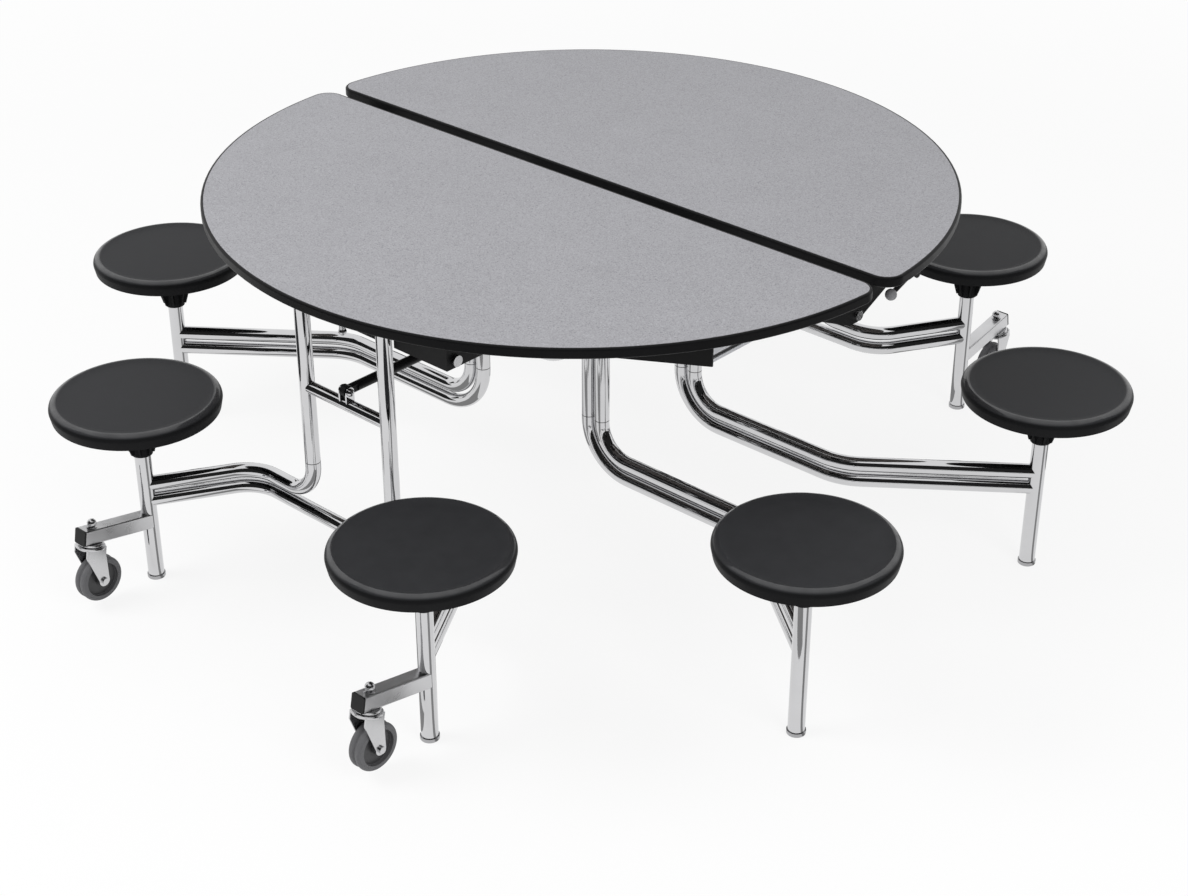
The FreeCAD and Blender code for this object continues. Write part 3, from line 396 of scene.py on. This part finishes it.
def nodes_named(start):
    """The CAD nodes whose names begin alike."""
    return [node for node in sorted(frame["nodes"]) if node.startswith(start)]


def dress(names, material, span=None):
    """Give the same finish to a piece of each half."""
    for name in names:
        for half in HALVES:
            smooth_copy(half + "_" + name, material, span)


def dress_nodes(start, material):
    """Give the same finish to every node whose name begins alike."""
    for node in nodes_named(start):
        smooth_copy(node, material)


class TableLooks(bpy.types.PropertyGroup):
    """Colours and grain of the table's finishes."""

    laminate_color: FloatVectorProperty(
        name="Laminate", description="Ground colour of the tops",
        subtype="COLOR", default=(0.341, 0.34, 0.361))
    backing_color: FloatVectorProperty(
        name="Backing", description="Colour of the sheet under the tops",
        subtype="COLOR", default=(0.11, 0.1, 0.095))
    chrome_color: FloatVectorProperty(
        name="Chrome", description="Colour of the bright plating",
        subtype="COLOR", default=(0.63, 0.63, 0.64))
    zinc_color: FloatVectorProperty(
        name="Zinc", description="Colour of bolts and caster forks",
        subtype="COLOR", default=(0.62, 0.62, 0.63))
    nickel_color: FloatVectorProperty(
        name="Glides", description="Colour of the floor glides",
        subtype="COLOR", default=(0.45, 0.45, 0.46))
    rail_color: FloatVectorProperty(
        name="Rail", description="Colour of the grooved rails",
        subtype="COLOR", default=(0.65, 0.66, 0.69))
    seat_color: FloatVectorProperty(
        name="Seats", description="Colour of the moulded seats",
        subtype="COLOR", default=(0.0295, 0.03, 0.0322))
    edge_color: FloatVectorProperty(
        name="Edge band", description="Colour of the vinyl edge",
        subtype="COLOR", default=(0.006, 0.006, 0.0065))
    black_steel_color: FloatVectorProperty(
        name="Black steel", description="Colour of housings and brackets",
        subtype="COLOR", default=(0.007, 0.007, 0.0075))
    wheel_color: FloatVectorProperty(
        name="Wheels", description="Colour of the caster wheels",
        subtype="COLOR", default=(0.11, 0.11, 0.115))
    knob_color: FloatVectorProperty(
        name="Knob", description="Colour of the lever's ball knob",
        subtype="COLOR", default=(0.2, 0.2, 0.21))
    fleck_scale: FloatProperty(
        name="Flecks", description="Laminate flecks to the metre", default=420.0)
    dark_flecks: FloatProperty(
        name="Dark flecks", description="Noise under which a fleck is dark", default=0.44)
    light_flecks: FloatProperty(
        name="Light flecks", description="Noise over which a fleck is light", default=0.57)
    fleck_fade: FloatProperty(
        name="Fleck fade", description="Change of noise over which a fleck fades in", default=1 / 6)
    cloud_scale: FloatProperty(
        name="Clouds", description="Laminate clouds to the metre", default=9.0)
    plating_scale: FloatProperty(
        name="Plating", description="Plating clouds to the metre", default=24.0)
    wear_scale: FloatProperty(
        name="Wear", description="Wear patches to the metre", default=30.0)
    grain_scale: FloatProperty(
        name="Grain", description="Moulding grains to the metre", default=900.0)
    leg_seam: FloatProperty(
        name="Leg seam", description="Height of the slip joint in a leg", unit="LENGTH", default=0.304)
    riser_seam: FloatProperty(
        name="Riser seam", description="Height of the slip joint in a riser", unit="LENGTH", default=0.3)
    seam_width: FloatProperty(
        name="Seam width", description="Width of a slip joint", unit="LENGTH", default=0.0016)
    seat_round: FloatProperty(
        name="Seat edge", description="Radius of a seat's edge", unit="LENGTH", default=0.015)
    rail_lip: FloatProperty(
        name="Rail lip", description="Gap under a rail", unit="LENGTH", default=0.008)
    rail_grooves: IntProperty(
        name="Grooves", description="Grooves in a rail", default=3)
    groove_share: FloatProperty(
        name="Groove share", description="Share of a rail's height in its grooves", default=0.375)
    web_share: FloatProperty(
        name="Web", description="Share of a wheel's radius that is web", default=0.73)


class TableScrews(bpy.types.PropertyGroup):
    """Sizes of the screws that hold the pans to the boards."""

    diameter: FloatProperty(
        name="Diameter", description="Width of a head", unit="LENGTH", default=0.009)
    height: FloatProperty(
        name="Height", description="Height of a head", unit="LENGTH", default=0.0028)
    inset: FloatProperty(
        name="Inset", description="Distance from a pan's walls", unit="LENGTH", default=0.022)
    along_pan: IntProperty(
        name="Along", description="Screws along a pan", default=6)
    across_pan: IntProperty(
        name="Across", description="Screws across a pan", default=2)
    sheet: FloatProperty(
        name="Sheet", description="Thickness of a pan's floor", unit="LENGTH", default=0.003)


class TableStage(bpy.types.PropertyGroup):
    """Camera, lamps, floor and the cards that show in shiny metal."""

    azimuth: FloatProperty(
        name="Azimuth", description="Side of the camera",
        subtype="ANGLE", default=math.radians(42.64))
    elevation: FloatProperty(
        name="Elevation", description="Height of the camera",
        subtype="ANGLE", default=math.radians(22.72))
    distance: FloatProperty(
        name="Distance", description="Camera to the middle of the top", unit="LENGTH", default=4.458)
    pan: FloatProperty(
        name="Pan", description="Turn of the camera to the side",
        subtype="ANGLE", default=math.radians(-0.34))
    tilt: FloatProperty(
        name="Tilt", description="Turn of the camera down",
        subtype="ANGLE", default=math.radians(7.17))
    lens: FloatProperty(
        name="Lens", description="Focal length in millimetres", default=65.45)
    key_power: FloatProperty(
        name="Key", description="Power of the large lamp", subtype="POWER", default=150.0)
    key_width: FloatProperty(
        name="Key width", description="Width of the large lamp", unit="LENGTH", default=2.6)
    key_place: FloatVectorProperty(
        name="Key place", description="Place of the large lamp",
        subtype="TRANSLATION", default=(-2.2, -3.4, 4.2))
    fill_power: FloatProperty(
        name="Fill", description="Power of the side lamp", subtype="POWER", default=60.0)
    fill_width: FloatProperty(
        name="Fill width", description="Width of the side lamp", unit="LENGTH", default=2.2)
    fill_place: FloatVectorProperty(
        name="Fill place", description="Place of the side lamp",
        subtype="TRANSLATION", default=(4.0, -1.0, 2.6))
    sky_strength: FloatProperty(
        name="Sky", description="Light from all round", default=0.62)
    floor_radius: FloatProperty(
        name="Floor", description="Radius of the floor", unit="LENGTH", default=40.0)
    floor_glow: FloatProperty(
        name="Floor white", description="Share of plain white in the floor", default=0.86)
    shadow_reach: FloatProperty(
        name="Shadow reach", description="Radius beyond which the floor turns plain white",
        unit="LENGTH", default=2.5)
    screen_start: FloatProperty(
        name="Screen start", description="Radius at which the dark floor begins",
        unit="LENGTH", default=2.3)
    screen_radius: FloatProperty(
        name="Screen", description="Radius of the dark wall behind the camera",
        unit="LENGTH", default=7.0)
    screen_height: FloatProperty(
        name="Screen height", description="Height of the dark wall", unit="LENGTH", default=8.0)
    screen_reach: FloatProperty(
        name="Screen reach", description="Half the angle that the wall fills",
        subtype="ANGLE", default=math.radians(95))
    screen_shade: FloatProperty(
        name="Screen shade", description="Brightness of the dark wall", default=0.02)
    card_shade: FloatProperty(
        name="Card shade", description="Brightness of the cards at the posts", default=0.3)
    card_length: FloatProperty(
        name="Cards", description="Length of the grey cards at the posts", unit="LENGTH", default=0.8)
    card_start: FloatProperty(
        name="Card start", description="First side of a card, from the camera's side",
        subtype="ANGLE", default=math.radians(40))
    card_end: FloatProperty(
        name="Card end", description="Last side of a card, from the camera's side",
        subtype="ANGLE", default=math.radians(68))


class TABLE_OT_tops(bpy.types.Operator):
    """Finish the half tops and their edge bands"""

    bl_idname = "folding_table.tops"
    bl_label = "Half Tops"

    def execute(self, context):
        looks = context.scene.table_looks
        dress(["top_board"], laminate("flecked laminate", looks))
        dress(["edge_band"], dull("vinyl edge", looks.edge_color, looks, rough=(0.32, 0.44), sheen=0.1))
        return {"FINISHED"}


class TABLE_OT_frames(bpy.types.Operator):
    """Finish the chrome tubes of the caster frames and the riser frames"""

    bl_idname = "folding_table.frames"
    bl_label = "Chrome Frames"

    def execute(self, context):
        looks = context.scene.table_looks
        dress(["legs"], chrome("chrome legs", looks, looks.leg_seam))
        dress(["seat_arms"], chrome("chrome arms", looks, looks.riser_seam))
        plain = ["base_rail", "leg_crossbar", "caster_posts", "riser_crossbar", "riser_posts"]
        dress(plain, chrome("bright chrome", looks))
        satin = plated("satin chrome", looks.chrome_color, looks, rough=(0.24, 0.34))
        dress(["caster_arms"], satin)
        nickel = plated("dull nickel", looks.nickel_color, looks, rough=(0.28, 0.45))
        dress(["caster_glides", "riser_glides"], nickel)
        plug = dull("black plug", looks.edge_color, looks, rough=(0.4, 0.5), sheen=0.25)
        dress(["arm_plugs"], plug)
        return {"FINISHED"}


class TABLE_OT_fittings(bpy.types.Operator):
    """Finish the steel parts under the tops and the link rods"""

    bl_idname = "folding_table.fittings"
    bl_label = "Fittings Under the Tops"

    def execute(self, context):
        looks = context.scene.table_looks
        steel = dull("satin black steel", looks.black_steel_color, looks, rough=(0.32, 0.46), sheen=0.15)
        dress(["leg_housing", "riser_housing", "hinge_brackets", "latch_box", "link_rod"], steel)
        dress(["latch_rail"], rail_finish("grooved rail", looks), rail_span(looks))
        dress(["top_hardware"], plated("zinc bolts", looks.zinc_color, looks, rough=(0.2, 0.34)))
        dress_nodes("lever_bracket", steel)
        dress_nodes("release_lever", lever_finish("lever and knob", looks))
        return {"FINISHED"}


class TABLE_OT_seats(bpy.types.Operator):
    """Finish the moulded seats and their hubs"""

    bl_idname = "folding_table.seats"
    bl_label = "Swivel Seats"

    def execute(self, context):
        looks = context.scene.table_looks
        for seat in nodes_named("seat_"):
            smooth_copy(seat, seat_finish("moulded " + seat, seat, looks))
        return {"FINISHED"}


class TABLE_OT_casters(bpy.types.Operator):
    """Finish the caster forks, stems and wheels"""

    bl_idname = "folding_table.casters"
    bl_label = "Casters"

    def execute(self, context):
        looks = context.scene.table_looks
        zinc = plated("zinc forks", looks.zinc_color, looks, rough=(0.18, 0.32))
        dress(["caster_stems"], zinc)
        dress_nodes("caster_fork", zinc)
        for wheel in nodes_named("caster_wheel"):
            smooth_copy(wheel, wheel_finish("grey " + wheel, wheel, looks))
        return {"FINISHED"}


def screw_tree():
    """Rows of screw heads that hang from a level plate, as a node group with named inputs."""
    tree = bpy.data.node_groups.new(TREE_NAME, "GeometryNodeTree")
    face = tree.interface
    face.new_socket("Geometry", in_out="OUTPUT", socket_type="NodeSocketGeometry")
    kinds = {
        "Length": "Float", "Width": "Float", "Along": "Int", "Across": "Int", "Middle": "Vector",
        "Diameter": "Float", "Height": "Float", "Material": "Material",
    }
    for name, kind in kinds.items():
        face.new_socket(name, in_out="INPUT", socket_type="NodeSocket" + kind)
    nodes, links = tree.nodes, tree.links
    given = nodes.new("NodeGroupInput").outputs

    def add(kind, **inputs):
        made = nodes.new("GeometryNode" + kind)
        for name, value in inputs.items():
            socket = made.inputs[name.replace("_", " ")]
            if isinstance(value, bpy.types.NodeSocket):
                links.new(value, socket)
            else:
                socket.default_value = value
        return made.outputs[0]

    def share_of(socket, share):
        made = nodes.new("ShaderNodeMath")
        made.operation = "MULTIPLY"
        links.new(socket, made.inputs[0])
        made.inputs[1].default_value = share
        return made.outputs[0]

    grid = add("MeshGrid", Size_X=given["Length"], Size_Y=given["Width"],
               Vertices_X=given["Along"], Vertices_Y=given["Across"])
    placed = add("Transform", Geometry=grid, Translation=given["Middle"])
    radius = share_of(given["Diameter"], 0.5)
    crown = share_of(given["Diameter"], CROWN_SHARE)
    head = add("MeshCone", Vertices=HEAD_SIDES, Radius_Top=radius, Radius_Bottom=crown, Depth=given["Height"])
    rows = add("InstanceOnPoints", Points=placed, Instance=head)
    whole = add("RealizeInstances", Geometry=rows)
    painted = add("SetMaterial", Geometry=whole, Material=given["Material"])
    links.new(painted, nodes.new("NodeGroupOutput").inputs[0])
    return tree


def screw_rows(tree, settings):
    """The plain mesh of one set of screw rows."""
    holder = bpy.data.objects.new(TREE_NAME, bpy.data.meshes.new(TREE_NAME))
    bpy.context.scene.collection.objects.link(holder)
    modifier = holder.modifiers.new("rows", "NODES")
    modifier.node_group = tree
    for item in tree.interface.items_tree:
        if item.in_out == "INPUT":
            modifier[item.identifier] = settings[item.name]
    mesh = made_mesh(holder)
    holder.modifiers.clear()
    bpy.data.objects.remove(holder)
    return mesh


def pan_screws(pan, sizes, material):
    """Inputs for the rows of screws on the floor of one pan."""
    low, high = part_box(pan)
    middle = (low + high) / 2
    middle.z = high.z - sizes.sheet - sizes.height / 2
    return {
        "Length": high.x - low.x - 2 * sizes.inset, "Width": high.y - low.y - 2 * sizes.inset,
        "Along": sizes.along_pan, "Across": sizes.across_pan, "Middle": middle,
        "Diameter": sizes.diameter, "Height": sizes.height, "Material": material,
    }


class TABLE_OT_screws(bpy.types.Operator):
    """Put the screws into the pans under the tops"""

    bl_idname = "folding_table.screws"
    bl_label = "Screws"

    def execute(self, context):
        looks = context.scene.table_looks
        sizes = context.scene.table_screws
        material = plated("screw zinc", looks.zinc_color, looks, rough=(0.22, 0.36))
        tree = screw_tree()
        for half in HALVES:
            joined = bmesh.new()
            for pan in ("leg_housing", "riser_housing"):
                joined.from_mesh(screw_rows(tree, pan_screws(half + "_" + pan, sizes, material)))
            whole = bpy.data.meshes.new(half + "_screws")
            joined.to_mesh(whole)
            joined.free()
            whole.materials.append(material)
            piece = bpy.data.objects.new(half + "_screws", whole)
            context.scene.collection.objects.link(piece)
            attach(piece, half + "_top")
        return {"FINISHED"}


def seen_ray(paint):
    """1 for rays that show a surface: straight from the camera, in a mirror or through glass."""
    light = "ShaderNodeLightPath"
    camera = paint.node(light, output="Is Camera Ray")
    glossy = paint.node(light, output="Is Glossy Ray")
    through = paint.node(light, output="Is Transmission Ray")
    return (camera + glossy + through).clamped()


def floor_paint(stage):
    """Pale floor: white to the eye, with the table's shadow left in it."""
    paint = Paint("pale floor")
    low, high = FLOOR_SHADES
    color = paint.mix(paint.noise(FLOOR_CLOUDS), grey(low), grey(high))
    matt = paint.node("ShaderNodeBsdfDiffuse", None, {"Color": color})
    glow = paint.node("ShaderNodeEmission", None, {"Color": grey(1.0), "Strength": 1.0})
    far = paint.away((0.0, 0.0, 0.0)).ramp(stage.shadow_reach, 2 * stage.shadow_reach)
    share = seen_ray(paint) * far.between(stage.floor_glow, 1.0)
    return paint.close(paint.node("ShaderNodeMixShader", None, {0: share, 1: matt, 2: glow}))


def studio_world(stage):
    """White room to the eye and in mirrors, with plain light for matt surfaces."""
    paint = Paint("studio", "worlds")
    color = paint.mix(seen_ray(paint), grey(stage.sky_strength), grey(1.0))
    return paint.close(paint.node("ShaderNodeBackground", None, {"Color": color}), "ShaderNodeOutputWorld")


def area_lamp(name, power, width, place, aim, scene):
    """A large soft lamp that points at a place and doesn't show in shiny metal."""
    data = bpy.data.lights.new(name, "AREA")
    data.energy = power
    data.size = width
    lamp = bpy.data.objects.new(name, data)
    lamp.location = place
    lamp.rotation_euler = (aim - Vector(place)).to_track_quat("-Z", "Y").to_euler()
    lamp.visible_glossy = False
    scene.collection.objects.link(lamp)


def post_feet():
    """Floor points under the seat posts."""
    swivels = [joint["pos_m"] for joint in frame["joints"] if joint["name"].startswith("seat_")]
    return [Vector((x, y, 0.0)) for x, y, height in swivels]


def mirror_card(name, work, shade, scene):
    """A card of one shade, made from a bmesh, that shows in shiny metal and nowhere else."""
    mesh = bpy.data.meshes.new(name)
    work.to_mesh(mesh)
    work.free()
    paint = Paint(name)
    color = paint.mottle(paint.noise(CARD_CLOUDS), grey(shade), darker=0.8, lighter=1.2)
    mesh.materials.append(paint.close(paint.node("ShaderNodeEmission", None, {"Color": color})))
    card = bpy.data.objects.new(name, mesh)
    scene.collection.objects.link(card)
    card.visible_camera = False
    card.visible_diffuse = False
    card.visible_transmission = False
    card.visible_shadow = False


class TABLE_OT_stage(bpy.types.Operator):
    """Set the floor, the cards for shiny metal, the lamps and the camera"""

    bl_idname = "folding_table.stage"
    bl_label = "Stage"

    def execute(self, context):
        scene = context.scene
        stage = scene.table_stage
        scene.view_settings.view_transform = "Standard"
        self.make_floor(scene, stage)
        self.make_post_cards(scene, stage)
        self.make_dark_wall(scene, stage)
        self.make_light(scene, stage)
        self.make_camera(scene, stage)
        return {"FINISHED"}

    def make_floor(self, scene, stage):
        mesh = bpy.data.meshes.new("floor")
        work = bmesh.new()
        bmesh.ops.create_circle(work, cap_ends=True, segments=FLOOR_SIDES, radius=stage.floor_radius)
        work.to_mesh(mesh)
        work.free()
        mesh.materials.append(floor_paint(stage))
        floor = bpy.data.objects.new("floor", mesh)
        scene.collection.objects.link(floor)

    def toward_camera(self, stage, radius, turn, height):
        """A place at a radius and a height, turned from the camera's side."""
        angle = math.atan2(-math.cos(stage.azimuth), math.sin(stage.azimuth)) + turn
        return Vector((math.cos(angle) * radius, math.sin(angle) * radius, height))

    def make_post_cards(self, scene, stage):
        """Grey cards on the floor at the posts, seen only in shiny metal."""
        cards = bmesh.new()
        for foot in post_feet():
            corners = [foot + Vector((0.0, 0.0, CARD_LIFT))]
            for turn in (stage.card_start, stage.card_end):
                corners.append(foot + self.toward_camera(stage, stage.card_length, turn, CARD_LIFT))
            cards.faces.new([cards.verts.new(corner) for corner in corners])
        mirror_card("grey cards", cards, stage.card_shade, scene)

    def make_dark_wall(self, scene, stage):
        """A dark wall behind the camera and the floor before it, seen only in shiny metal."""
        profile = (
            (stage.screen_start, CARD_LIFT),
            (stage.screen_radius, CARD_LIFT),
            (stage.screen_radius, stage.screen_height),
        )
        wall = bmesh.new()
        rows = []
        for step in range(SCREEN_STEPS + 1):
            turn = stage.screen_reach * (2 * step / SCREEN_STEPS - 1)
            places = [self.toward_camera(stage, radius, turn, height) for radius, height in profile]
            rows.append([wall.verts.new(place) for place in places])
        for row, following in zip(rows, rows[1:]):
            for index in range(len(profile) - 1):
                wall.faces.new((row[index], following[index], following[index + 1], row[index + 1]))
        mirror_card("dark wall", wall, stage.screen_shade, scene)

    def make_light(self, scene, stage):
        middle = (CAD_BOX[0] + CAD_BOX[1]) / 2
        area_lamp("key lamp", stage.key_power, stage.key_width, stage.key_place, middle, scene)
        area_lamp("fill lamp", stage.fill_power, stage.fill_width, stage.fill_place, middle, scene)
        scene.world = studio_world(stage)

    def make_camera(self, scene, stage):
        data = bpy.data.cameras.new("camera")
        data.lens = stage.lens
        data.clip_end = CAMERA_REACH
        camera = bpy.data.objects.new("camera", data)
        middle = Vector((0.0, 0.0, CAD_BOX[1].z))
        level = stage.distance * math.cos(stage.elevation)
        height = stage.distance * math.sin(stage.elevation)
        camera.location = middle + self.toward_camera(stage, level, 0.0, height)
        camera.rotation_euler = (math.pi / 2 - stage.elevation - stage.tilt, 0.0, stage.azimuth + stage.pan)
        scene.collection.objects.link(camera)
        scene.camera = camera


OPERATORS = (
    TABLE_OT_tops, TABLE_OT_frames, TABLE_OT_fittings, TABLE_OT_seats, TABLE_OT_casters, TABLE_OT_screws,
    TABLE_OT_stage,
)
GROUPS = {"table_looks": TableLooks, "table_screws": TableScrews, "table_stage": TableStage}


class TABLE_PT_parts(bpy.types.Panel):
    """Lists the pieces of the table"""

    bl_idname = "TABLE_PT_parts"
    bl_label = "Folding Table"
    bl_space_type = "VIEW_3D"
    bl_region_type = "UI"
    bl_category = "Folding Table"

    def draw(self, context):
        for operator in OPERATORS:
            self.layout.operator(operator.bl_idname)


def register():
    for cls in (*GROUPS.values(), *OPERATORS, TABLE_PT_parts):
        bpy.utils.register_class(cls)
    for name, cls in GROUPS.items():
        setattr(bpy.types.Scene, name, PointerProperty(type=cls))


def unregister():
    for name in GROUPS:
        delattr(bpy.types.Scene, name)
    for cls in reversed((*GROUPS.values(), *OPERATORS, TABLE_PT_parts)):
        bpy.utils.unregister_class(cls)


def main():
    register()
    for operator in OPERATORS:
        group, name = operator.bl_idname.split(".")
        getattr(getattr(bpy.ops, group), name)()


if __name__ == "__main__":
    main()
